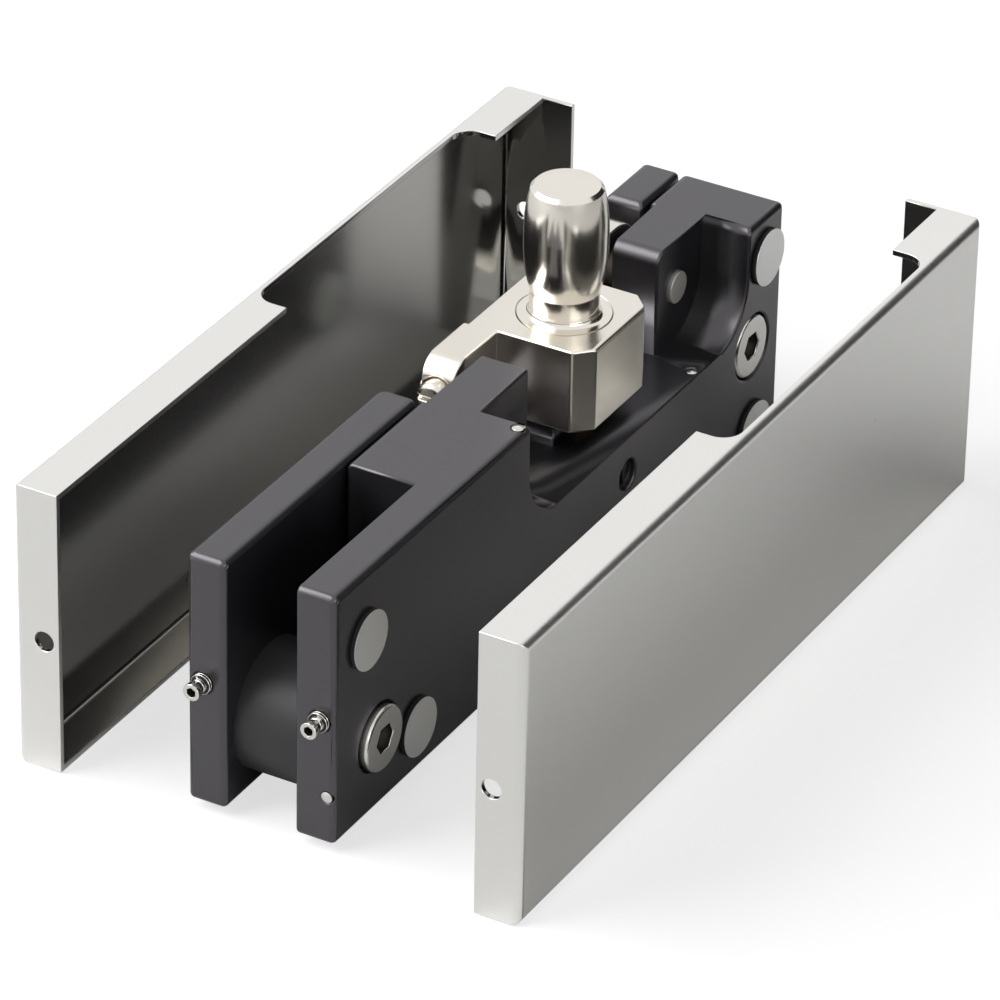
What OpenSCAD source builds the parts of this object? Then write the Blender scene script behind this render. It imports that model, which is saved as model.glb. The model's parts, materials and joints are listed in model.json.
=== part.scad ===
// Patch fitting for a glass door, laid open: a clamp body of two plates with a
// hydraulic self-closing spindle, and its two folded covers pulled off sideways.
// X runs along the fitting from its open glass end, Y across the door, Z up.

/* [Clamp body] */
// Length of the body and of the clamp plate
body_l = 167; // [162:1:176]
// Height of the body
body_h = 51.5; // [50:0.5:56]
// Thickness of each plate beside the glass
plate_t = 8; // [7.4:0.2:9]
// Width of the channel that takes the glass
glass_gap = 14.4; // [14:0.2:15.6]
// Depth of the glass channel from the near end
channel_l = 40.5; // [34:0.5:44]
// Free joint between the housing and the clamp plate
plate_seam = 0.6; // [0.4:0.1:0.8]
// Radius of the long edges and of the plate ends
edge_r = 1.4; // [0.8:0.1:2]

/* [Pivot pocket] */
// Distance of the pivot axis from the far end
pivot_inset = 58.8; // [58:0.1:60]
// Height of the notch floor in the outer face
notch_z = 29.7; // [28.5:0.1:31]
// Length of the outer notch toward the near end, from the pivot axis
notch_near = 39.4; // [38:0.1:41]
// Length of the outer notch toward the far end, from the pivot axis
notch_far = 44.9; // [44.5:0.1:45.5]
// Radius of the notch's floor corners
notch_r = 11.5; // [6:0.5:12]
// Length of the open pocket toward the near end, from the pivot axis
pocket_near = 21.8; // [20:0.1:24]
// Length of the open pocket toward the far end, from the pivot axis
pocket_far = 27.6; // [26:0.1:28.6]
// Distance of the tongue's and tower's outer face from the door's mid-plane
web_side = 4.8; // [4:0.1:6]
// Setback of the tongue and tower beside the rail, from the housing's inner face
rail_relief = 1.4; // [1:0.1:1.6]
// Rounding of the tower's near top edge
tower_r = 2.6; // [1.5:0.1:3.5]
// Rounding of the other top edges that face the pocket
lip_r = 1.6; // [1:0.1:2]

/* [Clamp plate window] */
// Length of the window toward the near end, from the pivot axis
window_near = 42; // [41:0.5:44]
// Length of the window toward the far end, from the pivot axis
window_far = 43.1; // [42.5:0.1:44]
// Height of the window floor
window_z = 33.4; // [31:0.2:33.6]
// Radius of the window's floor corners
window_r = 4; // [2:0.5:5]
// Rounding of the plate's corner beside the window
window_corner_r = 2.6; // [1:0.2:3]

/* [Pivot carrier] */
// Length of the block that holds the spindle
block_l = 25.4; // [24:0.2:27]
// Distance of the block's outer face from the pivot axis
block_side = 12; // [11.6:0.1:12.6]
// Height of the block's underside
block_z = 34.2; // [34:0.1:35]
// Chamfer of the block's outer corners
block_chamfer = 3.4; // [2:0.2:4]
// Chamfer round the top of the block
block_top_chamfer = 0.5; // [0.3:0.1:0.8]
// Width of the side rail
rail_w = 6; // [5.4:0.1:6.2]
// Clearance between the side rail and the housing
rail_gap = 0.4; // [0.3:0.05:0.7]
// Depth of the rail at its near nose
nose_depth = 10; // [9.5:0.1:11]
// Distance of the near nose's tip from the pivot axis
nose_reach = 29; // [28:0.1:30]
// Widening of the near nose to the outside
nose_flare = 1; // [0.4:0.1:1.2]
// Distance of the far lug's tip from the pivot axis
lug_reach = 41.6; // [40.5:0.1:41.8]

/* [Spindle] */
// Largest diameter of the barrel pin
barrel_d = 15.9; // [15:0.1:16.6]
// Length of the straight land round the barrel's widest place
barrel_land = 3; // [2:0.2:4]
// Height of the widest place above the block
barrel_belly = 15.9; // [15:0.1:17]
// Radius of the bulge below the land
barrel_low_r = 33; // [28:1:40]
// Radius of the bulge above the land
barrel_top_r = 35; // [30:1:50]
// Height of the neck under the bulge, above the block
barrel_neck = 5; // [4:0.1:6]
// Length of the barrel pin above the block
barrel_l = 26.7; // [25:0.1:28]
// Chamfer at the top of the barrel pin
barrel_chamfer = 0.5; // [0.3:0.1:1]
// Diameter of the barrel pin's foot
foot_d = 13.3; // [12.8:0.1:13.6]
// Flare at the foot of the barrel pin
foot_r = 1.2; // [0.6:0.1:1.4]
// Diameter of the flush collar round the pin
collar_d = 17.8; // [17:0.1:19]
// Thickness of the flush collar
collar_t = 3; // [2:0.2:4]
// Diameter of the spindle shaft inside the block
shaft_d = 10.8; // [10.6:0.1:11.2]
// Diameter of the spindle shaft inside the housing
low_shaft_d = 8.8; // [8.4:0.1:8.9]
// Diameter of the lower journal
journal_d = 7; // [6:0.2:7]
// Height of the spindle's lower end
journal_z = 2.2; // [1.8:0.2:3]
// Swing of the door to each side
swing = 90; // [80:5:100]

/* [Rack and pinion] */
// Number of teeth on the spindle
pinion_teeth = 11; // [11:1:11]
// Tooth module
tooth_module = 0.8; // [0.78:0.01:0.82]
// Pressure angle of the teeth
pressure_angle = 25; // [24:0.5:27]
// Working depth of a tooth above the pitch line
addendum = 0.7; // [0.6:0.01:0.72]
// Root clearance of the teeth
root_clear = 0.2; // [0.15:0.01:0.25]
// Play between the teeth, measured on the pitch line
tooth_play = 0.14; // [0.1:0.01:0.2]
// Number of rack teeth on each side of the middle one
rack_side_teeth = 4; // [4:1:4]

/* [Hydraulic cylinder] */
// Diameter of the piston
piston_d = 14; // [13.4:0.1:14.4]
// Running clearance of the piston, on the radius
piston_fit = 0.05; // [0.03:0.01:0.08]
// Height of the cylinder's axis
cyl_z = 11.5; // [11:0.1:12]
// Distance of the cylinder's axis from the pivot axis, to the outer side
cyl_y = 4.2; // [4:0.1:4.6]
// Thickness of each piston head
head_t = 5.4; // [4.8:0.2:7]
// Wall between the cylinder and the glass channel
cyl_end_wall = 6; // [4:0.5:8]
// Length of the screwed end plug
plug_l = 10; // [8:0.5:11]
// Wire diameter of the return springs
wire_d = 1.8; // [1.4:0.1:2]
// Outer diameter of the return springs
spring_d = 13; // [12:0.1:13.2]
// Turns of the near return spring
near_turns = 9; // [7:1:10]
// Turns of the far return spring
far_turns = 6; // [5:1:7]

/* [Clamp screws and glass bush] */
// Distance of the near clamp screw from the near end
near_screw_x = 15.2; // [14.8:0.1:17]
// Height of the near clamp screw
near_screw_z = 14.8; // [14:0.1:15.4]
// Distance of the far clamp screw from the far end
far_screw_inset = 11.4; // [11:0.1:11.8]
// Height of the far clamp screw
far_screw_z = 25.1; // [24.4:0.1:26]
// Head diameter of the clamp screws
screw_head_d = 12.8; // [12.4:0.1:13.2]
// Head height of the clamp screws
screw_head_h = 4; // [3.6:0.1:4.4]
// How far the near screw's head stands out of the plate
near_head_proud = 1.4; // [0.6:0.1:1.5]
// Thread diameter of the clamp screws
screw_d = 8; // [7:0.2:8]
// Clearance hole allowance for the clamp screws, on the radius
screw_clear = 0.2; // [0.1:0.05:0.3]
// Gap round a screw head in its counterbore
head_clear = 0.35; // [0.3:0.05:0.45]
// Width across flats of the hexagon sockets
hex_af = 5; // [4:0.5:6]
// Depth of the hexagon sockets
hex_depth = 3.2; // [2.6:0.1:3.4]
// Diameter of the glass bush
bush_d = 25; // [22:0.5:26]

/* [Covers] */
// Sheet thickness of the covers
sheet_t = 1.2; // [1:0.1:1.5]
// Outer radius of the folds
fold_r = 1.8; // [1.6:0.1:2.4]
// Gap between the body's near end and the near flanges
near_gap = 1.8; // [1.7:0.1:2.2]
// Gap between the body's far end and the far flanges
far_gap = 3.8; // [3.6:0.1:4]
// Gap between the plates and the covers' insides
side_gap = 1.7; // [1.6:0.1:2]
// Gap under the body
under_gap = 0.3; // [0.2:0.1:0.6]
// Gap over the body
over_gap = 3.8; // [3:0.1:4.2]
// Depth of the top, bottom and near flanges
flange_d = 9.2; // [8.8:0.1:10]
// Depth of the far flange
far_flange_d = 15.8; // [14.4:0.1:16.4]
// Length of the top notch toward the near end, from the pivot axis
cut_near = 33; // [31:0.5:35]
// Length of the top notch toward the far end, from the pivot axis
cut_far = 44.4; // [42:0.2:47]
// Strip that the top notch leaves along the cover
cut_strip = 2; // [1.9:0.1:3]
// Radius of the top notch's corners
cut_r = 4; // [3:0.5:5]
// Diameter of the locking screw holes
lock_hole_d = 4; // [3.8:0.1:4.4]
// How far the left cover is pulled off
left_pull = 31.1; // [29:0.1:34]
// How far the right cover is pulled off
right_pull = 36.3; // [33:0.1:40]

/* [Locking screws and pads] */
// Distance of the locking screws from the door's mid-plane
lock_y = 12; // [11.6:0.1:12.4]
// Height of the near locking screws above the body's underside
near_lock_z = 25.4; // [25:0.1:27]
// Height of the far locking screws above the body's underside
far_lock_z = 30.6; // [29.6:0.1:32]
// Thread diameter of the locking screws
lock_d = 4; // [3.6:0.1:4]
// Tip diameter of the locking screws
lock_tip_d = 3.3; // [3:0.1:3.5]
// Length of a locking screw
lock_l = 5.4; // [5.2:0.1:5.6]
// How far the tips of the near locking screws stand out past the seated cover's flange
lock_past = 0.8; // [0.4:0.1:0.8]
// Travel of a near locking screw when it is turned in
lock_travel = 2.6; // [2.5:0.05:2.7]
// How far the tips of the far locking screws stand out of the body, turned in
far_lock_proud = 0.6; // [0.4:0.1:0.7]
// Diameter of the cover pads
pad_d = 11.4; // [11:0.1:11.8]
// Thickness of the pads' foam
pad_t = 0.9; // [0.8:0.1:1.4]
// Thickness of the pads' face film
film_t = 0.15; // [0.1:0.05:0.2]

/* [Small parts] */
// Diameter of the stop pin across the tower
stop_pin_d = 6.4; // [5:0.2:6.6]
// Distance of the stop pin from the pivot axis
stop_pin_x = 35; // [34:0.1:36]
// Depth of the stop pin below the body's top
stop_pin_drop = 10.3; // [8.6:0.1:10.6]
// How far the stop pin stands out of the tower
stop_pin_proud = 0.7; // [0.4:0.1:1.6]
// Head diameter of the slotted nose screw
nose_screw_head_d = 6.2; // [5.8:0.1:7]
// Head height of the slotted nose screw
nose_screw_head_h = 3.6; // [2.4:0.1:4]
// Depth of the flat seat under the nose screw's head
nose_seat = 1.1; // [0.8:0.1:1.6]
// Thread diameter of the slotted nose screw
nose_screw_d = 4; // [3:0.2:4]
// Diameter of the speed valve's bore
valve_bore_d = 6.2; // [5.6:0.1:6.6]
// Height of the speed valve
valve_z = 21.8; // [21.6:0.1:22.4]
// Distance of the speed valve from the pivot axis, toward the near end
valve_inset = 1.6; // [0:0.2:4]
// Diameter of the oil channel plugs
oil_plug_d = 2.2; // [1.8:0.1:2.4]

/* [Hidden] */

$fn = 96;
eps = 0.01;
over = 1;

// Fits, on the radius, and the small gap of a seated part
seat_fit = 0.02;
run_fit = 0.05;
seat_gap = 0.05;

// Pivot axis, from the near end
pivot_x = body_l - pivot_inset;

// Across the body, from the door's mid-plane
half_gap = glass_gap / 2;
half_w = half_gap + plate_t;
housing_y = half_gap - plate_seam;

// Covers
cover_l = body_l + near_gap + far_gap + 2 * sheet_t;
cover_h = body_h + under_gap + over_gap + 2 * sheet_t;
cover_half_w = half_w + side_gap + sheet_t;
cover_x0 = -(near_gap + sheet_t);
body_lift = sheet_t + under_gap;
mid_y = (right_pull - left_pull) / 2;

// Pocket, notch and window, along the body
notch_x0 = pivot_x - notch_near;
notch_x1 = pivot_x + notch_far;
pocket_x0 = pivot_x - pocket_near;
pocket_x1 = pivot_x + pocket_far;
window_x0 = pivot_x - window_near;
window_x1 = pivot_x + window_far;
seat_l = block_l - 2;

// Carrier
rail_y0 = housing_y + rail_gap;
rail_y1 = rail_y0 + rail_w;
nose_r = nose_depth / 2;
nose_x = pivot_x - nose_reach + nose_r;
lug_r = (body_h - block_z) / 2;
lug_x = pivot_x + lug_reach - lug_r;
stop_x = pivot_x + stop_pin_x;
stop_pin_z = body_h - stop_pin_drop;

// Spindle, heights from the body's underside
pinion_r = tooth_module * pinion_teeth / 2;
pinion_tip_r = pinion_r + addendum;
pinion_root_r = pinion_r - addendum - root_clear;
chamber_r = pinion_tip_r + 0.3;
piston_r = piston_d / 2;
cylinder_r = piston_r + piston_fit;
pinion_z0 = cyl_z - piston_r + 0.5;
pinion_z1 = cyl_z + piston_r + 0.5;
seal_z = pinion_z1 + 0.6;
seal_t = 3;
housing_bush_z = seal_z + seal_t;
housing_bush_r = chamber_r + 0.2;
shaft_step_z = block_z + 0.4;
carrier_bush_r = shaft_d / 2 + 1.8;
carrier_bush_z1 = body_h - collar_t - 0.4;
bottom_bearing_r = journal_d / 2 + 1.2;
bottom_bearing_z0 = journal_z - 0.2;
bottom_bearing_z1 = cyl_z - piston_r - 0.3;

// Piston and cylinder
rack_pitch = PI * tooth_module;
stroke = pinion_r * swing * PI / 180;
slot_half_l = stroke + pinion_tip_r + 0.6;
piston_half_l = slot_half_l + head_t;
cyl_x0 = channel_l + cyl_end_wall;
plug_x0 = body_l - plug_l;
seal_wire_d = 1.6;
seal_groove_w = 2.2;

// Screws
far_screw_x = body_l - far_screw_inset;
near_lock_proud = near_gap + sheet_t + lock_past;
near_lock_hole = lock_l - near_lock_proud + lock_travel + 0.1;
far_lock_hole = lock_l - far_lock_proud + 0.1;
nose_screw_z = body_h - nose_screw_head_d / 2 - 3.4;
nose_seat_x = nose_x - nose_r + nose_seat;
nose_screw_y = (rail_y0 + rail_y1 + nose_flare) / 2;
valve_x = pivot_x - valve_inset;
valve_depth = 4.4;

// Pads as [distance from the near end, height]
pad_clear = 1.1;
pad_spots = [
    [pad_d / 2 + 4.9, body_h - pad_d / 2 - 8],
    [near_screw_x + screw_head_d / 2 + pad_d / 2 + pad_clear, pad_d / 2 + 4.1],
    [body_l - pad_d / 2 - 1.5, body_h - pad_d / 2 - 2.9],
    [body_l - pad_d / 2 - 4.6, pad_d / 2 + 1]
];

// Oil channel plugs as [x, y, z, turn about Y]: one in the near face, two from above
oil_plug_l = 3;
oil_plug_spots = [
    [0, -half_w + 1.7, near_screw_z - 4.9, -90],
    [notch_x0 - 1.8, -half_w + 1.8, body_h, 0],
    [pocket_x1 - 1.4, -half_w + 1.8, notch_z, 0]
];

// Moves a piece from the body's own corner to the fitting's frame
module place() {
    translate([-body_l / 2, mid_y, body_lift]) children();
}

// Extrudes an X-Z outline from y0 to y1
module along_y(y0, y1) {
    translate([0, y1, 0]) rotate([90, 0, 0]) linear_extrude(y1 - y0) children();
}

// Extrudes a Y-Z outline from x0 to x1
module along_x(x0, x1) {
    translate([x0, 0, 0]) rotate([90, 0, 90]) linear_extrude(x1 - x0) children();
}

// Cylinder along Y from y0 to y1, on the axis at x and z
module bar_y(x, z, r, y0, y1, sides = $fn) {
    translate([x, y1, z]) rotate([90, 0, 0]) cylinder(r = r, h = y1 - y0, $fn = sides);
}

// Cylinder along X from x0 to x1, on the axis at y and z
module bar_x(y, z, r, x0, x1, sides = $fn) {
    translate([x0, y, z]) rotate([0, 90, 0]) cylinder(r = r, h = x1 - x0, $fn = sides);
}

// Upright cylinder on the pivot axis
module upright(r, z0, z1) {
    translate([pivot_x, 0, z0]) cylinder(r = r, h = z1 - z0);
}

// Rectangle with rounded corners, from its lower left corner
module round_rect(w, h, r) {
    translate([r, 0]) square([w - 2 * r, h]);
    translate([0, r]) square([w, h - 2 * r]);
    for (x = [r, w - r], y = [r, h - r]) translate([x, y]) circle(r);
}

// What a round corner of radius r takes away; the corner is at the origin and the
// solid lies toward sx, sy
module corner_waste(r, sx, sy) {
    difference() {
        translate([sx > 0 ? -over : -r, sy > 0 ? -over : -r]) square(r + over);
        translate([sx * r, sy * r]) circle(r);
    }
}

// Box with all its edges rounded off by three crossing outlines
module soft_box(l, y0, y1, h, r) {
    intersection() {
        along_y(y0, y1) round_rect(l, h, r);
        along_x(0, l) translate([y0, 0]) round_rect(y1 - y0, h, r);
        translate([0, y0, 0]) linear_extrude(h) round_rect(l, y1 - y0, r);
    }
}

// Socket head screw along Y: head toward -Y from y0, shank to y1
module clamp_screw(x, z, y0, y1) {
    difference() {
        union() {
            intersection() {
                bar_y(x, z, screw_head_d / 2, y0, y0 + screw_head_h);
                translate([x, y0 + screw_head_h, z]) rotate([90, 0, 0])
                    cylinder(r1 = screw_head_d / 2 + screw_head_h - 0.4, r2 = screw_head_d / 2 - 0.4, h = screw_head_h);
            }
            bar_y(x, z, screw_d / 2, y0 + screw_head_h - eps, y1);
        }
        bar_y(x, z, hex_af / sqrt(3), y0 - over, y0 + hex_depth, 6);
    }
}

// Right plate, housing, tongue and tower: one machined body
module main_body() {
    color("#2d2d2f") place() difference() {
        union() {
            difference() {
                soft_box(body_l, -half_w, housing_y, body_h, edge_r);
                // Glass channel
                translate([-over, -half_gap, -over])
                    cube([channel_l + over, half_gap + housing_y + over, body_h + 2 * over]);
                // Notch in the outer face
                along_y(-half_w - over, -web_side) {
                    translate([notch_x0, notch_z]) round_rect(notch_near + notch_far, body_h, notch_r);
                    translate([notch_x1, body_h]) corner_waste(lip_r, 1, -1);
                }
                // Open pocket round the carrier
                along_y(-web_side - eps, housing_y + over) {
                    translate([pocket_x0, notch_z]) square([pocket_near + pocket_far, body_h]);
                    translate([pocket_x1, body_h]) corner_waste(tower_r, 1, -1);
                }
                // Relief of the tongue and tower beside the carrier's rail
                for (x = [[window_x0, pocket_x0 + over], [pocket_x1 - over, notch_x1]])
                    translate([x[0], housing_y - rail_relief, notch_z])
                        cube([x[1] - x[0], rail_relief + over, body_h]);
            }
            // Seat of the carrier
            along_y(-web_side, housing_y) translate([pivot_x - seat_l / 2, notch_z - eps])
                square([seat_l, block_z - notch_z + eps]);
        }
        // Spindle bores
        upright(chamber_r, pinion_z0 - 0.3, seal_z + eps);
        upright(housing_bush_r + seat_fit, seal_z, body_h);
        upright(bottom_bearing_r + seat_fit, bottom_bearing_z0, pinion_z0);
        // Cylinder, open to the far end
        bar_x(-cyl_y, cyl_z, cylinder_r, cyl_x0, body_l + over);
        // Clamp screws
        bar_y(near_screw_x, near_screw_z, screw_d / 2 + screw_clear, -half_w - over, housing_y + over);
        bar_y(near_screw_x, near_screw_z, screw_head_d / 2 + head_clear, -half_w - over,
            -half_w - near_head_proud + screw_head_h);
        bar_y(far_screw_x, far_screw_z, screw_d / 2 + screw_clear, -half_w - over, housing_y + over);
        bar_y(far_screw_x, far_screw_z, screw_head_d / 2 + head_clear, -half_w - over, -half_w + screw_head_h);
        // Locking screws
        bar_x(-lock_y, near_lock_z, lock_d / 2 + seat_fit, -over, near_lock_hole);
        bar_x(-lock_y, far_lock_z, lock_d / 2 + seat_fit, body_l - far_lock_hole, body_l + over);
        // Speed valve, stop pin and oil plugs
        bar_y(valve_x, valve_z, valve_bore_d / 2, -half_w - over, -half_w + valve_depth);
        bar_y(stop_x, stop_pin_z, stop_pin_d / 2 + seat_fit, -half_w - over, housing_y + over);
        for (s = oil_plug_spots) translate([s.x, s.y, s.z]) rotate([0, s[3], 0])
            translate([0, 0, -oil_plug_l]) cylinder(d = oil_plug_d + 2 * seat_fit, h = oil_plug_l + over);
    }
}

// Left plate with the window for the carrier's rail
module clamp_plate() {
    color("#2d2d2f") place() difference() {
        soft_box(body_l, half_gap, half_w, body_h, edge_r);
        along_y(half_gap - over, half_w + over) {
            translate([window_x0, window_z]) round_rect(window_near + window_far, body_h, window_r);
            translate([window_x1, body_h]) corner_waste(lip_r, 1, -1);
        }
        translate([0, 0, window_z + window_r]) linear_extrude(body_h) translate([window_x0, half_w])
            corner_waste(window_corner_r, -1, -1);
        bar_y(near_screw_x, near_screw_z, screw_d / 2 + seat_fit, half_gap - over, half_w + over);
        bar_y(far_screw_x, far_screw_z, screw_d / 2 + seat_fit, half_gap - over, half_w + over);
        bar_x(lock_y, near_lock_z, lock_d / 2 + seat_fit, -over, near_lock_hole);
        bar_x(lock_y, far_lock_z, lock_d / 2 + seat_fit, body_l - far_lock_hole, body_l + over);
    }
}

// Side view of the carrier's rail: round nose, rail, full-depth lug
module rail_outline() {
    translate([nose_x, body_h - nose_r]) circle(nose_r);
    translate([nose_x, body_h - nose_depth]) square([pivot_x - nose_x, nose_depth]);
    translate([pivot_x - block_l / 2, block_z]) square([lug_x - pivot_x + block_l / 2, body_h - block_z]);
    translate([lug_x, block_z + lug_r]) circle(lug_r);
}

// Block that carries the spindle, cast with its side rail
module pivot_carrier() {
    block_x0 = pivot_x - block_l / 2;
    block_x1 = pivot_x + block_l / 2;
    color("#d3cdc3") place() difference() {
        union() {
            translate([0, 0, block_z]) linear_extrude(body_h - block_z) polygon([
                [block_x0, rail_y1], [block_x0, -block_side + block_chamfer],
                [block_x0 + block_chamfer, -block_side], [block_x1 - block_chamfer, -block_side],
                [block_x1, -block_side + block_chamfer], [block_x1, rail_y1]
            ]);
            along_y(rail_y0, rail_y1) rail_outline();
            along_y(rail_y1 - eps, rail_y1 + nose_flare) intersection() {
                rail_outline();
                translate([nose_x - nose_r, 0]) square([3.2 * nose_r, body_h]);
            }
        }
        // Bevel along the outer top edge
        along_x(block_x0 - over, block_x1 + over) translate([-block_side, body_h]) rotate(45)
            square(block_top_chamfer * sqrt(2), center = true);
        upright(collar_d / 2 + run_fit, body_h - collar_t, body_h + over);
        upright(carrier_bush_r + seat_fit, block_z - over, body_h - collar_t + eps);
        bar_y(stop_x, stop_pin_z, stop_pin_d / 2 + seat_fit, rail_y0 - over, rail_y1 + over);
        bar_x(nose_screw_y, nose_screw_z, nose_screw_d / 2 + seat_fit,
            nose_x - nose_r - over, nose_x + nose_r);
        bar_x(nose_screw_y, nose_screw_z, nose_screw_head_d / 2 + 0.25,
            nose_x - nose_r - over, nose_seat_x);
    }
}

// Involute function in degrees
function involute(a) = tan(a) * 180 / PI - a;

// Half the angle of a pinion tooth at radius r
function half_tooth(r) =
    90 / pinion_teeth - tooth_play / 4 / pinion_r * 180 / PI
    + involute(pressure_angle) - involute(acos(min(1, pinion_base_r / r)));

pinion_base_r = pinion_r * cos(pressure_angle);
flank_steps = 5;
flank_radii = [for (i = [0:flank_steps]) pinion_base_r + (pinion_tip_r - pinion_base_r) * i / flank_steps];

function at_angle(r, a) = [r * cos(a), r * sin(a)];

// Outline of the pinion, with a tooth gap toward the rack
module pinion_outline() {
    turn = -90 + 180 / pinion_teeth;
    polygon([for (k = [0:pinion_teeth - 1]) let (a = turn + k * 360 / pinion_teeth) each concat(
        [at_angle(pinion_root_r, a - half_tooth(pinion_base_r))],
        [for (r = flank_radii) at_angle(r, a - half_tooth(r))],
        [for (i = [flank_steps:-1:0]) at_angle(flank_radii[i], a + half_tooth(flank_radii[i]))],
        [at_angle(pinion_root_r, a + half_tooth(pinion_base_r))]
    )]);
}

// Barrel pin, collar, shaft, pinion and journal: one turned and cut spindle
module pivot_spindle() {
    low_z = body_h + barrel_belly - barrel_land / 2;
    high_z = low_z + barrel_land;
    top_z = body_h + barrel_l;
    top_x = barrel_d / 2 - barrel_top_r + sqrt(pow(barrel_top_r, 2) - pow(top_z - high_z, 2));
    neck_z = body_h + barrel_neck;
    neck_x = barrel_d / 2 - barrel_low_r + sqrt(pow(barrel_low_r, 2) - pow(low_z - neck_z, 2));
    color("#d8d3ca") place() translate([pivot_x, 0, 0]) {
        rotate_extrude() {
            translate([0, journal_z]) square([journal_d / 2, pinion_z0 - journal_z + eps]);
            translate([0, pinion_z1 - eps]) square([low_shaft_d / 2, shaft_step_z - pinion_z1 + 2 * eps]);
            translate([0, shaft_step_z]) square([shaft_d / 2, body_h - collar_t - shaft_step_z + eps]);
            translate([0, body_h - collar_t]) square([collar_d / 2, collar_t]);
            // Neck, bulge below the land, land, bulge above the land
            polygon([[0, body_h - eps], [foot_d / 2, body_h - eps], [neck_x, neck_z], [0, neck_z]]);
            intersection() {
                translate([barrel_d / 2 - barrel_low_r, low_z]) circle(barrel_low_r, $fn = 360);
                translate([0, neck_z - eps]) square([barrel_d, low_z - neck_z + 2 * eps]);
            }
            translate([0, low_z]) square([barrel_d / 2, barrel_land]);
            intersection() {
                translate([barrel_d / 2 - barrel_top_r, high_z]) circle(barrel_top_r, $fn = 360);
                polygon([
                    [0, high_z - eps], [barrel_d, high_z - eps], [barrel_d, top_z - barrel_d + top_x - barrel_chamfer],
                    [top_x - barrel_chamfer, top_z], [0, top_z]
                ]);
            }
            // Hollow flare at the foot
            difference() {
                translate([0, body_h - eps]) square([foot_d / 2 + foot_r, foot_r + eps]);
                translate([foot_d / 2 + foot_r, body_h + foot_r]) circle(foot_r);
            }
        }
        translate([0, 0, pinion_z0]) linear_extrude(pinion_z1 - pinion_z0) pinion_outline();
    }
}

// Plain bearing bush on the pivot axis
module bearing_bush(outer_r, inner_r, z0, z1) {
    place() difference() {
        upright(outer_r, z0, z1);
        upright(inner_r, z0 - over, z1 + over);
    }
}

module carrier_bush() {
    color("#a8834a") bearing_bush(carrier_bush_r, shaft_d / 2 + run_fit, block_z, carrier_bush_z1);
}

module housing_bush() {
    color("#a8834a") bearing_bush(housing_bush_r, low_shaft_d / 2 + run_fit, housing_bush_z, block_z);
}

// Lip seal round the shaft
module shaft_seal() {
    color("#1d1d1f") place() translate([pivot_x, 0, seal_z]) rotate_extrude() difference() {
        translate([low_shaft_d / 2 + run_fit, 0])
            square([housing_bush_r - low_shaft_d / 2 - run_fit, seal_t]);
        polygon([
            [low_shaft_d / 2 + 0.4, -over], [housing_bush_r - 0.4, -over],
            [housing_bush_r - 0.4, 0.6 * seal_t], [low_shaft_d / 2 + 0.6, 0.6 * seal_t]
        ]);
    }
}

// Bush of the lower journal
module bottom_bearing() {
    color("#a8834a")
        bearing_bush(bottom_bearing_r, journal_d / 2 + run_fit, bottom_bearing_z0, bottom_bearing_z1);
}

// Space above the rack teeth, as an outline from above with the teeth along X
module rack_space() {
    half_tip = rack_pitch / 4 - tooth_play / 4 - addendum * tan(pressure_angle);
    half_root = rack_pitch / 4 - tooth_play / 4 + (addendum + root_clear) * tan(pressure_angle);
    tip_y = -pinion_r + addendum;
    root_y = -pinion_r - addendum - root_clear;
    polygon(concat(
        [[-slot_half_l, piston_d], [-slot_half_l, root_y]],
        [for (k = [-rack_side_teeth:rack_side_teeth]) each [
            [k * rack_pitch - half_root, root_y], [k * rack_pitch - half_tip, tip_y],
            [k * rack_pitch + half_tip, tip_y], [k * rack_pitch + half_root, root_y]
        ]],
        [[slot_half_l, root_y], [slot_half_l, piston_d]]
    ));
}

// Piston with the rack cut into its flank and a seal groove in each head
module rack_piston() {
    color("#9a9da2") place() difference() {
        bar_x(-cyl_y, cyl_z, piston_r, pivot_x - piston_half_l, pivot_x + piston_half_l);
        translate([pivot_x, 0, 0]) linear_extrude(2 * cyl_z) rack_space();
        for (side = [-1, 1]) translate([pivot_x + side * (slot_half_l + head_t / 2), -cyl_y, cyl_z])
            rotate([0, 90, 0]) difference() {
                cylinder(r = piston_r + over, h = seal_groove_w, center = true);
                cylinder(r = piston_r - seal_wire_d, h = seal_groove_w + over, center = true);
            }
    }
}

module piston_seals() {
    color("#1d1d1f") place()
        for (side = [-1, 1]) translate([pivot_x + side * (slot_half_l + head_t / 2), -cyl_y, cyl_z])
            rotate([0, 90, 0]) rotate_extrude() translate([piston_r - seal_wire_d / 2 + seat_fit, 0])
                circle(seal_wire_d / 2 - seat_fit, $fn = 24);
}

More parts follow.
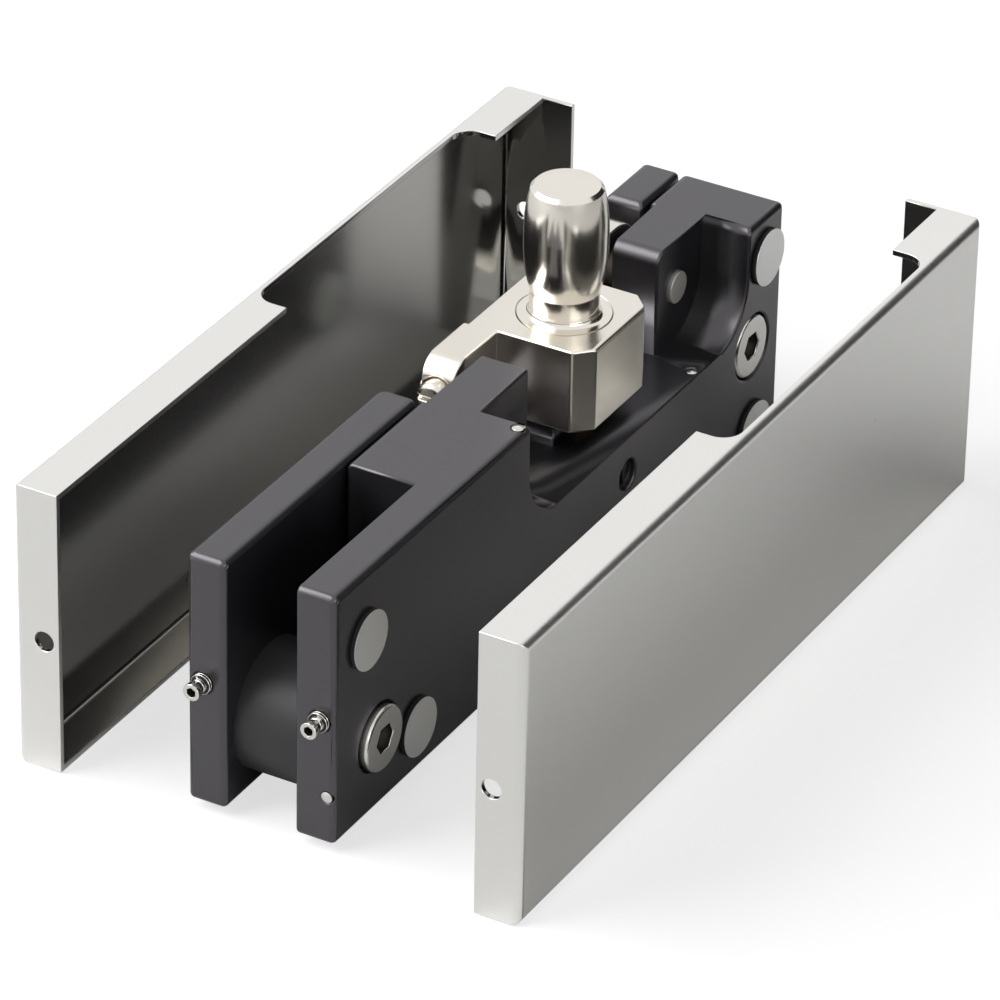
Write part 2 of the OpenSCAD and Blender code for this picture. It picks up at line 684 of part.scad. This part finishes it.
// Coil spring along X between x0 and x1, with closed end turns
module coil_spring(x0, x1, turns) {
    wire_r = wire_d / 2;
    mean_r = (spring_d - wire_d) / 2;
    ring_sides = 6;
    steps_per_turn = 16;
    steps = turns * steps_per_turn;
    rise = (x1 - x0 - wire_d);
    // Advance along X, with a flat first and last turn
    function advance(t) = let (e = 0.75, s = t * turns)
        s < 1 ? wire_d * 1.02 * s
        : s > turns - 1 ? rise - wire_d * 1.02 * (turns - s)
        : wire_d * 1.02 + (rise - 2.04 * wire_d) * (s - 1) / (turns - 2);
    points = [for (i = [0:steps]) let (t = i / steps, a = 360 * t * turns, c = x0 + wire_r + advance(t))
        for (j = [0:ring_sides - 1]) let (b = 360 * j / ring_sides, r = mean_r + wire_r * cos(b))
            [c + wire_r * sin(b), r * cos(a), r * sin(a)]];
    sides = [for (i = [0:steps - 1], j = [0:ring_sides - 1]) let (k = (j + 1) % ring_sides)
        [i * ring_sides + j, i * ring_sides + k, (i + 1) * ring_sides + k, (i + 1) * ring_sides + j]];
    first = [for (j = [ring_sides - 1:-1:0]) j];
    last = [for (j = [0:ring_sides - 1]) steps * ring_sides + j];
    translate([0, -cyl_y, cyl_z]) polyhedron(points, concat(sides, [first, last]), convexity = 10);
}

module near_return_spring() {
    color("#8f9399") place() coil_spring(cyl_x0 + seat_gap, pivot_x - piston_half_l - seat_gap, near_turns);
}

module far_return_spring() {
    color("#8f9399") place() coil_spring(pivot_x + piston_half_l + seat_gap, plug_x0 - seat_gap, far_turns);
}

// Screwed plug that closes the cylinder at the far end
module end_plug() {
    color("#55585c") place() difference() {
        bar_x(-cyl_y, cyl_z, cylinder_r - seat_fit, plug_x0, body_l - 0.6);
        bar_x(-cyl_y, cyl_z, hex_af / sqrt(3), body_l - 0.6 - 1.6 * hex_depth, body_l + over, 6);
        translate([plug_x0 + 2.4, -cyl_y, cyl_z]) rotate([0, 90, 0]) difference() {
            cylinder(r = cylinder_r + over, h = seal_groove_w);
            translate([0, 0, -over]) cylinder(r = cylinder_r - seal_wire_d, h = seal_groove_w + 2 * over);
        }
    }
}

module plug_seal() {
    color("#1d1d1f") place() translate([plug_x0 + 2.4 + seal_groove_w / 2, -cyl_y, cyl_z])
        rotate([0, 90, 0]) rotate_extrude() translate([cylinder_r - seal_wire_d / 2, 0])
            circle(seal_wire_d / 2 - seat_fit, $fn = 24);
}

// Slotted closing speed valve, sunk in its bore
module speed_valve() {
    sunk = 1.4;
    slot_w = 1;
    slot_d = 1.2;
    color("#3a3a3c") place() difference() {
        bar_y(valve_x, valve_z, valve_bore_d / 2 - seat_fit, -half_w + sunk, -half_w + valve_depth);
        translate([valve_x - slot_w / 2, -half_w + sunk - over, valve_z - valve_bore_d])
            cube([slot_w, slot_d + over, 2 * valve_bore_d]);
    }
}

// Pressed plugs that close the drilled oil channels
module oil_plugs() {
    color("#c9c8c4") place() for (s = oil_plug_spots) translate([s.x, s.y, s.z]) rotate([0, s[3], 0])
        rotate_extrude() intersection() {
            translate([0, 0.2 - oil_plug_d]) circle(oil_plug_d);
            translate([0, -oil_plug_l + 0.2]) square([oil_plug_d / 2, oil_plug_l]);
        }
}

// Pin through the tower into the carrier's far lug
module stop_pin() {
    color("#b7b5b0") place()
        bar_y(stop_x, stop_pin_z, stop_pin_d / 2, -web_side - stop_pin_proud, rail_y1 - 0.4);
}

// Slotted screw with a rounded head in the carrier's near nose
module nose_screw() {
    head_r = nose_screw_head_d / 2;
    round_r = 1.2;
    slot_w = 1;
    slot_d = 1.4;
    color("#d8d3ca") place() translate([nose_seat_x, nose_screw_y, nose_screw_z]) rotate([0, -90, 0]) difference() {
        rotate_extrude() {
            translate([0, nose_seat_x - nose_x - nose_r + 0.4])
                square([nose_screw_d / 2, nose_x + nose_r - 0.4 - nose_seat_x + eps]);
            square([head_r, nose_screw_head_h - round_r]);
            square([head_r - round_r, nose_screw_head_h]);
            translate([head_r - round_r, nose_screw_head_h - round_r]) circle(round_r);
        }
        translate([-slot_w / 2, -nose_screw_head_d, nose_screw_head_h - slot_d])
            cube([slot_w, 2 * nose_screw_head_d, slot_d + over]);
    }
}

module near_clamp_screw() {
    color("#c4c3bf") place()
        clamp_screw(near_screw_x, near_screw_z, -half_w - near_head_proud, half_w - 0.4);
}

module far_clamp_screw() {
    color("#c4c3bf") place() clamp_screw(far_screw_x, far_screw_z, -half_w, half_w - 0.4);
}

// Bush that fills the notch of the glass round the near clamp screw
module glass_bush() {
    color("#252527") place() difference() {
        bar_y(near_screw_x, near_screw_z, bush_d / 2, -half_gap, half_gap);
        bar_y(near_screw_x, near_screw_z, screw_d / 2 + screw_clear, -half_gap - over, half_gap + over);
    }
}

// Folded cover for the -Y side when side is -1, seated on the body; its outer
// face lies at cover_half_w and its flanges point to the mid-plane
module cover_shell() {
    inner_r = fold_r - sheet_t;
    difference() {
        // Outside of the tray
        intersection() {
            along_x(cover_x0, cover_x0 + cover_l) translate([cover_half_w - 2 * far_flange_d, -body_lift])
                round_rect(2 * far_flange_d, cover_h, fold_r);
            translate([0, 0, -body_lift]) linear_extrude(cover_h)
                translate([cover_x0, cover_half_w - 2 * far_flange_d])
                    round_rect(cover_l, 2 * far_flange_d, fold_r);
            translate([cover_x0 - over, cover_half_w - far_flange_d, -body_lift - over])
                cube([cover_l + 2 * over, far_flange_d + over, cover_h + 2 * over]);
        }
        // Inside of the tray
        intersection() {
            along_x(cover_x0, cover_x0 + cover_l)
                translate([cover_half_w - 2 * far_flange_d, sheet_t - body_lift])
                    round_rect(2 * far_flange_d - sheet_t, cover_h - 2 * sheet_t, inner_r);
            translate([0, 0, -body_lift]) linear_extrude(cover_h)
                translate([cover_x0 + sheet_t, cover_half_w - 2 * far_flange_d])
                    round_rect(cover_l - 2 * sheet_t, 2 * far_flange_d - sheet_t, inner_r);
        }
        // The far flange alone keeps its full depth
        translate([cover_x0 - over, cover_half_w - far_flange_d - over, -body_lift - over])
            cube([cover_l - sheet_t + over, far_flange_d - flange_d + over, cover_h + 2 * over]);
        // Notch in the top flange
        translate([0, 0, cover_h - body_lift - sheet_t - over]) linear_extrude(sheet_t + 2 * over)
            translate([pivot_x - cut_near, cover_half_w - cut_strip - 2 * far_flange_d])
                round_rect(cut_near + cut_far, 2 * far_flange_d, cut_r);
        // Holes over the locking screws
        bar_x(lock_y, near_lock_z, lock_hole_d / 2, cover_x0 - over, cover_x0 + 2 * sheet_t);
        bar_x(lock_y, far_lock_z, lock_hole_d / 2, cover_x0 + cover_l - 2 * sheet_t, cover_x0 + cover_l + over);
    }
}

module left_cover() {
    color("#b7b8b6") place() translate([0, left_pull, 0]) cover_shell();
}

module right_cover() {
    color("#b7b8b6") place() translate([0, -right_pull, 0]) mirror([0, 1, 0]) cover_shell();
}

// Locking screw with a grooved thread, a neck and a socketed tip, at a body end; out is -1
// at the near end and 1 at the far end, proud is how far its tip stands out of the body
module lock_screw(x, y, z, out, proud) {
    thread_l = 2.3;
    tip_l = 1.2;
    groove_z = thread_l - 0.6;
    socket_af = 1.7;
    socket_depth = 2.4;
    color("#cfcdc8") place() translate([x + out * (proud - lock_l), y, z]) rotate([0, out * 90, 0]) difference() {
        rotate_extrude($fn = 48) difference() {
            union() {
                square([lock_tip_d / 2 - 0.35, lock_l]);
                square([lock_d / 2, thread_l]);
                translate([0, lock_l - tip_l]) square([lock_tip_d / 2, tip_l]);
            }
            translate([lock_d / 2 - 0.3, groove_z]) square([lock_d, 0.35]);
        }
        translate([0, 0, lock_l - socket_depth])
            cylinder(r = socket_af / sqrt(3), h = socket_depth + over, $fn = 6);
    }
}

module left_near_lock_screw() { lock_screw(0, lock_y, near_lock_z, -1, near_lock_proud); }
module left_far_lock_screw() { lock_screw(body_l, lock_y, far_lock_z, 1, far_lock_proud); }
module right_near_lock_screw() { lock_screw(0, -lock_y, near_lock_z, -1, near_lock_proud); }
module right_far_lock_screw() { lock_screw(body_l, -lock_y, far_lock_z, 1, far_lock_proud); }

// Round foam pads on a plate's outer face, between the heights from the face
module pads(side, from, to) {
    place() for (s = pad_spots)
        bar_y(s.x, s.y, pad_d / 2, side > 0 ? half_w + from : -half_w - to, side > 0 ? half_w + to : -half_w - from);
}

module left_pads() { color("#1b1b1c") pads(1, 0, pad_t); }
module right_pads() { color("#1b1b1c") pads(-1, 0, pad_t); }
module left_pad_films() { color("#b3b4af") pads(1, pad_t, pad_t + film_t); }
module right_pad_films() { color("#b3b4af") pads(-1, pad_t, pad_t + film_t); }

main_body();
clamp_plate();
pivot_carrier();
pivot_spindle();
carrier_bush();
housing_bush();
shaft_seal();
bottom_bearing();
rack_piston();
piston_seals();
near_return_spring();
far_return_spring();
end_plug();
plug_seal();
speed_valve();
oil_plugs();
stop_pin();
nose_screw();
near_clamp_screw();
far_clamp_screw();
glass_bush();
left_cover();
right_cover();
left_near_lock_screw();
left_far_lock_screw();
right_near_lock_screw();
right_far_lock_screw();
left_pads();
right_pads();
left_pad_films();
right_pad_films();
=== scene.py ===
"""Looks of a clamp-on patch fitting for a glass door, with its two covers pulled off."""
import json
import math

import bmesh
import bpy
from mathutils import Matrix, Vector
from mathutils.bvhtree import BVHTree

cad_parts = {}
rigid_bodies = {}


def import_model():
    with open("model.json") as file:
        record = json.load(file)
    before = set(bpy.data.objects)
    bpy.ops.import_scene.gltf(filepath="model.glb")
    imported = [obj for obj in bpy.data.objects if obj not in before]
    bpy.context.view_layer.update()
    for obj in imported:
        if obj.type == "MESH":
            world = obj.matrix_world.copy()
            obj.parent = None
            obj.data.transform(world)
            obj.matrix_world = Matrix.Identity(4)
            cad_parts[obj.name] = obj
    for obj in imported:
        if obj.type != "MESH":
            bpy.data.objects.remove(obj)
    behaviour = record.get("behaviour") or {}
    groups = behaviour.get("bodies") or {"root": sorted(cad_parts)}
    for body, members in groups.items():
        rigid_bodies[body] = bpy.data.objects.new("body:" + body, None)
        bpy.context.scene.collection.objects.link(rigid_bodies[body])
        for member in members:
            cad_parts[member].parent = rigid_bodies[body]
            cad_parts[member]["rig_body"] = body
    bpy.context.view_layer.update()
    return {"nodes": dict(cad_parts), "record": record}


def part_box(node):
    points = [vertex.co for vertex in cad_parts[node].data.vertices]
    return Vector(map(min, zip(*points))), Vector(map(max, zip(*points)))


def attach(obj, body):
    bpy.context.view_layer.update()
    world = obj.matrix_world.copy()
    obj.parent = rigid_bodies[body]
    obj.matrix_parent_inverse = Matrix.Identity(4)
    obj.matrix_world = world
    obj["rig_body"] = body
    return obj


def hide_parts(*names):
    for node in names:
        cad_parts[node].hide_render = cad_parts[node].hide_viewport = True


MM = 0.001

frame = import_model()
nodes = frame["nodes"]
slot_of = {part["node"]: part["material_slot"] for part in frame["record"]["subparts"]}


# Materials

NOISE_RANGE = (0.3, 0.7)  # nearly all values of a noise lie between these


def node_adder(tree):
    """Function that adds a node to the tree and sets its inputs or properties by name."""

    def add(kind, **settings):
        node = tree.nodes.new(kind)
        for key, value in settings.items():
            if key in node.inputs:
                node.inputs[key].default_value = value
            else:
                setattr(node, key, value)
        return node

    return add


def new_material(name, **settings):
    """Material with one shader that has the settings: the material, its tree and both nodes."""
    mat = bpy.data.materials.new(name)
    mat.use_nodes = True
    tree = mat.node_tree
    tree.nodes.clear()
    add = node_adder(tree)
    out = add("ShaderNodeOutputMaterial")
    shader = add("ShaderNodeBsdfPrincipled", **settings)
    tree.links.new(shader.outputs["BSDF"], out.inputs["Surface"])
    return mat, tree, shader, out


def surface(name, dark, light, rough, metallic=0.0, grain=60, share=0.15, detail=4.0, blotch=25.0,
            bump=0.05, bump_distance=0.05 * MM, specular=0.5, ior=1.5, tint=(1, 1, 1)):
    """Surface whose colour wanders between dark and light, with fine grain in roughness and bump.

    grain is the fine noise's scale in cells per centimetre, as one number or along X, Y and Z,
    and share is how much of it is in the colour. blotch is the broad noise's scale, per metre.
    """
    mat, tree, shader, _ = new_material(name, **{
        "Metallic": metallic, "Specular IOR Level": specular, "IOR": ior,
        "Specular Tint": (*tint, 1),
    })
    add = node_adder(tree)
    link = tree.links.new
    grain_xyz = grain if isinstance(grain, tuple) else (grain, grain, grain)

    coords = add("ShaderNodeTexCoord")
    stretch = add("ShaderNodeMapping", Scale=[100 * g for g in grain_xyz])
    link(coords.outputs["Object"], stretch.inputs["Vector"])
    fine = add("ShaderNodeTexNoise", Scale=1.0, Detail=detail, Roughness=0.6)
    link(stretch.outputs["Vector"], fine.inputs["Vector"])
    broad = add("ShaderNodeTexNoise", Scale=blotch, Detail=3.0, Roughness=0.5)
    link(coords.outputs["Object"], broad.inputs["Vector"])

    blend = add("ShaderNodeMix", data_type="FLOAT", Factor=share)
    link(broad.outputs["Fac"], blend.inputs["A"])
    link(fine.outputs["Fac"], blend.inputs["B"])
    ramp = add("ShaderNodeValToRGB")
    for stop, position, colour in zip(ramp.color_ramp.elements, NOISE_RANGE, (dark, light)):
        stop.position = position
        stop.color = (*colour, 1)
    link(blend.outputs["Result"], ramp.inputs["Fac"])
    link(ramp.outputs["Color"], shader.inputs["Base Color"])

    spread = add("ShaderNodeMapRange", **{
        "From Min": NOISE_RANGE[0], "From Max": NOISE_RANGE[1],
        "To Min": rough[0], "To Max": rough[1],
    })
    link(fine.outputs["Fac"], spread.inputs["Value"])
    link(spread.outputs["Result"], shader.inputs["Roughness"])
    relief = add("ShaderNodeBump", Strength=bump, Distance=bump_distance)
    link(fine.outputs["Fac"], relief.inputs["Height"])
    link(relief.outputs["Normal"], shader.inputs["Normal"])
    return mat


# Each finish, two of them darkened in part as painted shade: its name, its darkest and lightest
# colour, its least and greatest roughness
materials = {
    "black_body": surface(
        "black_anodised", (0.0110, 0.0105, 0.0125), (0.0140, 0.0134, 0.0160), (0.31, 0.35),
        grain=25, share=0.1, bump=0.03, specular=0.85, ior=1.6, tint=(0.98, 0.94, 1.0)),
    "nickel": surface(
        "satin_nickel", (0.74, 0.70, 0.635), (0.82, 0.78, 0.715), (0.22, 0.26),
        metallic=1.0, grain=14, share=0.05, bump=0.012),
    "nickel_turned": surface(
        "turned_nickel", (0.72, 0.68, 0.615), (0.82, 0.78, 0.715), (0.15, 0.19),
        metallic=1.0, grain=(3, 3, 60), share=0.1, bump=0.012),
    "cover_steel": surface(
        "satin_stainless", (0.76, 0.755, 0.735), (0.80, 0.795, 0.775), (0.27, 0.33),
        metallic=1.0, grain=(4, 40, 40), blotch=6.0, bump=0.02),
    # Inward faces of the covers: a smoother finish, with the steel's colour darkened far below
    # the outer faces' as painted shade
    "cover_inside": surface(
        "smooth_stainless_painted_shade", (0.43, 0.425, 0.405), (0.47, 0.465, 0.445), (0.11, 0.15),
        metallic=1.0, grain=(4, 30, 30), blotch=5.0, bump=0.015),
    "bright_steel": surface(
        "zinc_plated_steel", (0.62, 0.61, 0.58), (0.76, 0.75, 0.71), (0.16, 0.26),
        metallic=1.0, grain=50, bump=0.06),
    "spring_steel": surface(
        "oiled_spring_wire", (0.22, 0.23, 0.25), (0.34, 0.35, 0.37), (0.25, 0.35),
        metallic=1.0, grain=80, bump=0.08),
    "dark_steel": surface(
        "blackened_steel", (0.045, 0.045, 0.048), (0.085, 0.085, 0.09), (0.3, 0.42),
        metallic=0.9, grain=70, bump=0.08),
    "bronze": surface(
        "bearing_bronze", (0.40, 0.25, 0.11), (0.55, 0.36, 0.17), (0.28, 0.38),
        metallic=1.0, bump=0.1),
    "seal_rubber": surface(
        "seal_rubber", (0.012, 0.012, 0.013), (0.024, 0.024, 0.025), (0.55, 0.7), bump=0.15),
    "pad_foam": surface(
        "black_foam", (0.010, 0.010, 0.011), (0.035, 0.035, 0.036), (0.75, 0.9),
        grain=90, detail=6.0, bump=0.5, bump_distance=0.1 * MM),
    "pad_film": surface(
        "pad_film", (0.92, 0.92, 0.905), (0.96, 0.96, 0.945), (0.42, 0.5),
        metallic=0.75, grain=40, specular=0.4),
    "ground_pin": surface(
        "ground_pin", (0.74, 0.72, 0.68), (0.80, 0.78, 0.74), (0.42, 0.5),
        metallic=0.55, grain=30, bump=0.03),
    # Hollow of each screw's socket: the plated steel darkened to near black as painted shade
    "socket": surface(
        "socket_painted_shade", (0.020, 0.019, 0.018), (0.045, 0.043, 0.040), (0.4, 0.55),
        metallic=0.6, grain=80, bump=0.1),
    "black_plastic": surface(
        "moulded_black_plastic", (0.018, 0.018, 0.019), (0.034, 0.034, 0.036), (0.42, 0.55),
        grain=35, bump=0.12),
}


def paint(obj, mat):
    """Gives the object one material, on its own slots."""
    if not obj.material_slots:
        obj.data.materials.append(mat)
    for slot in obj.material_slots:
        slot.link = "OBJECT"
        slot.material = mat


for name, obj in nodes.items():
    paint(obj, materials[slot_of[name]])
paint(nodes["pivot_spindle"], materials["nickel_turned"])


# Pieces with rounded edges

SAME_POINT = 0.0005 * MM  # corners nearer to each other than this are one
FLAT = math.radians(0.5)  # faces that meet at less than this are one
SHARP = math.radians(30)  # edges that are sharper than this are rounded
STRAY = 0.45  # share of a rounding's width beyond which a corner has left the surface
EDGE_WEIGHT = 80  # how strongly the shading follows the large faces


def merged(node):
    """The node's mesh with its flat faces joined, as a bmesh."""
    bm = bmesh.new()
    bm.from_mesh(nodes[node].data)
    bmesh.ops.remove_doubles(bm, verts=bm.verts, dist=SAME_POINT)
    bmesh.ops.dissolve_limit(bm, angle_limit=FLAT, verts=bm.verts, edges=bm.edges)
    return bm


def as_piece(name, bm, node, second=None):
    """A new object from bm that stands for the node and moves with the node's body.

    second is (material, test): faces for which test(face) holds get that material.
    """
    mesh = bpy.data.meshes.new(name)
    mesh.materials.append(materials[slot_of[node]])
    if second:
        mesh.materials.append(second[0])
    bm.normal_update()
    for face in bm.faces:
        face.smooth = True
        face.material_index = 1 if second and second[1](face) else 0
    bm.to_mesh(mesh)
    bm.free()
    for layer in ("custom_normal", "UVMap"):
        if layer in mesh.attributes:
            mesh.attributes.remove(mesh.attributes[layer])
    obj = bpy.data.objects.new(name, mesh)
    bpy.context.scene.collection.objects.link(obj)
    shade = obj.modifiers.new("even_shading", "WEIGHTED_NORMAL")
    shade.mode = "FACE_AREA_WITH_ANGLE"
    shade.weight = EDGE_WEIGHT
    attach(obj, nodes[node]["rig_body"])
    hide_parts(node)
    return obj


def eased(node, width, segments=3, keep=None, inner=False, second=None):
    """The node with its sharp edges rounded to the width.

    keep(middle) says which edges are rounded, and inner takes the hollow ones too. Where small
    faces cross, a rounding can throw a corner off the surface, and such a corner goes back to it.
    """
    bm = merged(node)
    skin = BVHTree.FromBMesh(bm)
    edges = [
        e for e in bm.edges
        if len(e.link_faces) == 2 and e.calc_face_angle(0.0) > SHARP
        and (inner or e.is_convex)
        and (keep is None or keep((e.verts[0].co + e.verts[1].co) / 2))
    ]
    bmesh.ops.bevel(bm, geom=edges, offset=width, offset_type="OFFSET", segments=segments,
                    profile=0.5, affect="EDGES", clamp_overlap=False)
    for vert in bm.verts:
        spot, _, _, distance = skin.find_nearest(vert.co)
        if distance > STRAY * width:
            vert.co = spot
    return as_piece(node + "_finished", bm, node, second)


body_lo, body_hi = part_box("main_body")


def on_outside(point):
    """True for points of the body that lie near its outer faces or above its notch floor.

    The long outer edge of the notch floor stays sharp, because a plug is set close to it, and so
    does the small fillet at the tower's top, whose steps are shorter than the rounding.
    """
    rim = 1.6 * MM
    tongue_l = 42 * MM
    notch_floor = 29.7 * MM
    above_bores = 29.0 * MM
    tower_fillet_y = -2.2 * MM
    near = 0.1 * MM

    height = point.z - body_lo.z
    at_fillet = abs(point.y - tower_fillet_y) < near and 69 * MM < point.x < 71.1 * MM
    if at_fillet and point.z > 51 * MM:
        return False
    if abs(height - notch_floor) < near and point.y < body_lo.y + rim:
        return False
    return (
        point.x < body_lo.x + tongue_l or point.x > body_hi.x - rim
        or point.y < body_lo.y + rim or height < rim or height > above_bores
    )


def off_window_corner(point):
    """False at the near upper corner of the plate's window, where two small fillets cross."""
    return not (-20.2 * MM < point.x < -15.5 * MM and 35 * MM < point.z < 39.2 * MM)


def faces_inward(node):
    """Test for faces of a folded tray that look into it."""
    lo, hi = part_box(node)
    middle = (lo + hi) / 2
    return lambda face: face.normal.dot(middle - face.calc_center_median()) > 0


def in_socket(node, axis, outward, reach, depth):
    """Test for faces of a screw that lie in its socket.

    They are within reach of the screw's own axis (0, 1 or 2) and deeper than depth from its
    outer end, which is at the low side of the axis where outward is -1.
    """
    lo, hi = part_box(node)
    middle = (lo + hi) / 2
    across = [i for i in range(3) if i != axis]

    def test(face):
        centre = face.calc_center_median()
        off_axis = math.hypot(*(centre[i] - middle[i] for i in across))
        inside = centre[axis] - lo[axis] if outward < 0 else hi[axis] - centre[axis]
        return off_axis < reach and depth < inside

    return test


X_AXIS, Y_AXIS = 0, 1

eased("main_body", 0.55 * MM, keep=on_outside)
eased("clamp_plate", 0.55 * MM, keep=off_window_corner)
eased("pivot_carrier", 0.45 * MM, inner=True)
for side in ("left", "right"):
    inside = faces_inward(side + "_cover")
    # Each cover's inward faces get the darker inside steel, which is painted shade
    eased(side + "_cover", 0.15 * MM, segments=2, second=(materials["cover_inside"], inside))
    eased(side + "_pads", 0.25 * MM)
for screw in ("near_clamp_screw", "far_clamp_screw"):
    socket = in_socket(screw, Y_AXIS, -1, 2.95 * MM, 0.35 * MM)
    # Faces deep in the socket take the near-black socket colour, a painted shade
    eased(screw, 0.25 * MM, second=(materials["socket"], socket))
for side in ("left", "right"):
    for end, outward in (("near", -1), ("far", 1)):
        screw = f"{side}_{end}_lock_screw"
        socket = in_socket(screw, X_AXIS, outward, 1.02 * MM, 0.2 * MM)
        # Faces deep in the socket take the near-black socket colour, a painted shade
        eased(screw, 0.12 * MM, segments=2, second=(materials["socket"], socket))
for small in ("nose_screw", "speed_valve"):
    eased(small, 0.2 * MM)
paint(eased("stop_pin", 0.2 * MM), materials["ground_pin"])


# Studio

WHITE = (1, 1, 1, 1)
BLACK = (0, 0, 0, 1)
WORLD_SEEN, WORLD_LIT = 1.0, 0.08  # the world's strength where it is seen, and as a light
FLOOR_HALF = 4.0
FLOOR_DROP = 0.2 * MM
FLOOR_GLOW = 0.68  # lifts the floor to white for the camera alone
LIGHTS_AIM = (0, 0, 0.03)


def either(tree, *outputs):
    """Output that is 1 where any of the outputs is."""
    result = outputs[0]
    for output in outputs[1:]:
        total = node_adder(tree)("ShaderNodeMath", operation="ADD", use_clamp=True)
        tree.links.new(result, total.inputs[0])
        tree.links.new(output, total.inputs[1])
        result = total.outputs[0]
    return result


def mixed(tree, kind, factor, first, second):
    """Output of a node of the kind that joins two shaders, by the factor if there is one."""
    node = node_adder(tree)(kind)
    if factor:
        tree.links.new(factor, node.inputs["Fac"])
    shaders = [socket for socket in node.inputs if socket.type == "SHADER"]
    tree.links.new(first.outputs[0], shaders[0])
    tree.links.new(second.outputs[0], shaders[1])
    return node


def background():
    """White world for the camera and for reflections, a softer level for the light it gives."""
    world = bpy.data.worlds.new("studio")
    bpy.context.scene.world = world
    world.use_nodes = True
    tree = world.node_tree
    tree.nodes.clear()
    add = node_adder(tree)
    out = add("ShaderNodeOutputWorld")
    seen = add("ShaderNodeBackground", Color=WHITE, Strength=WORLD_SEEN)
    lit = add("ShaderNodeBackground", Color=WHITE, Strength=WORLD_LIT)
    ray = add("ShaderNodeLightPath").outputs
    shown = either(tree, ray["Is Camera Ray"], ray["Is Glossy Ray"], ray["Is Transmission Ray"])
    both = mixed(tree, "ShaderNodeMixShader", shown, lit, seen)
    tree.links.new(both.outputs[0], out.inputs["Surface"])


def panel(name, corners, mat):
    """Four-cornered stage piece."""
    mesh = bpy.data.meshes.new(name)
    mesh.from_pydata([tuple(c) for c in corners], [], [(0, 1, 2, 3)])
    mesh.materials.append(mat)
    obj = bpy.data.objects.new(name, mesh)
    bpy.context.scene.collection.objects.link(obj)
    return obj


def floor():
    """Plain pale floor that keeps the object's shadow.

    The camera sees it lifted to white where nothing shades it, reflections see it as it is lit,
    and the light that it throws back on the object is that of a greyer floor.
    """
    mat, tree, grey, out = new_material("floor", **{
        "Base Color": (0.45, 0.45, 0.445, 1), "Roughness": 0.9, "Specular IOR Level": 0.0,
    })
    add = node_adder(tree)
    pale = add("ShaderNodeBsdfDiffuse", Color=(0.95, 0.95, 0.945, 1))
    soft = add("ShaderNodeBsdfDiffuse", Color=(0.5, 0.5, 0.5, 1))
    glow = add("ShaderNodeEmission", Color=WHITE, Strength=FLOOR_GLOW)
    ray = add("ShaderNodeLightPath").outputs
    mirrored = either(tree, ray["Is Glossy Ray"], ray["Is Transmission Ray"])
    unseen = mixed(tree, "ShaderNodeMixShader", mirrored, grey, pale)
    lifted = mixed(tree, "ShaderNodeAddShader", None, soft, glow)
    whole = mixed(tree, "ShaderNodeMixShader", ray["Is Camera Ray"], unseen, lifted)
    tree.links.new(whole.outputs[0], out.inputs["Surface"])
    ring = ((-1, -1), (1, -1), (1, 1), (-1, 1))
    obj = panel("floor", [(x * FLOOR_HALF, y * FLOOR_HALF, 0) for x, y in ring], mat)
    obj.location.z = -FLOOR_DROP


def soft_light(name, place, size, power):
    """Large rectangular lamp that faces the object."""
    data = bpy.data.lights.new(name, "AREA")
    data.shape = "RECTANGLE"
    data.size, data.size_y = size
    data.energy = power
    obj = bpy.data.objects.new(name, data)
    bpy.context.scene.collection.objects.link(obj)
    obj.location = place
    obj.rotation_mode = "QUATERNION"
    obj.rotation_quaternion = (Vector(LIGHTS_AIM) - Vector(place)).to_track_quat("-Z", "Y")


def card(name, middle, width, low, high, grey):
    """Upright card of an even grey that stands round the set and shows only in reflections."""
    away = Vector((middle[0], middle[1], 0)).normalized()
    along = Vector((-away.y, away.x, 0)) * width / 2
    foot = Vector((middle[0], middle[1], low))
    rise = Vector((0, 0, high - low))
    corners = [foot - along, foot + along, foot + along + rise, foot - along + rise]
    mat, *_ = new_material(name, **{
        "Base Color": BLACK, "Specular IOR Level": 0.0,
        "Emission Color": (grey, grey, grey, 1), "Emission Strength": 1.0,
    })
    obj = panel(name, corners, mat)
    obj.visible_camera = False
    obj.visible_diffuse = False
    obj.visible_shadow = False


background()
floor()
soft_light("key", (-0.7, 1.2, 1.35), (1.7, 1.7), 42.0)
soft_light("fill", (-0.7, -1.5, 0.5), (1.0, 0.6), 5.5)
card("dark_card", (0.95, -0.66), width=1.3, low=0.02, high=1.1, grey=0.02)
card("grey_card", (1.35, 0.75), width=1.7, low=0.3, high=1.7, grey=1.0)


# Camera, at the place and angle that were fitted to the photograph

camera = bpy.data.objects.new("camera", bpy.data.cameras.new("camera"))
bpy.context.scene.collection.objects.link(camera)
bpy.context.scene.camera = camera
camera.data.sensor_width = 36.0
camera.data.lens = 255.38
right = Vector((0.49406, -0.86926, 0.01724))
up = Vector((0.44392, 0.26926, 0.85466))
back = Vector((-0.74756, -0.4146, 0.51891))
stand = Matrix((right, up, back)).transposed().to_4x4()
stand.translation = Vector((-976.75, -540.0, 703.29)) * MM
camera.matrix_world = stand
bpy.context.scene.view_settings.view_transform = "Standard"
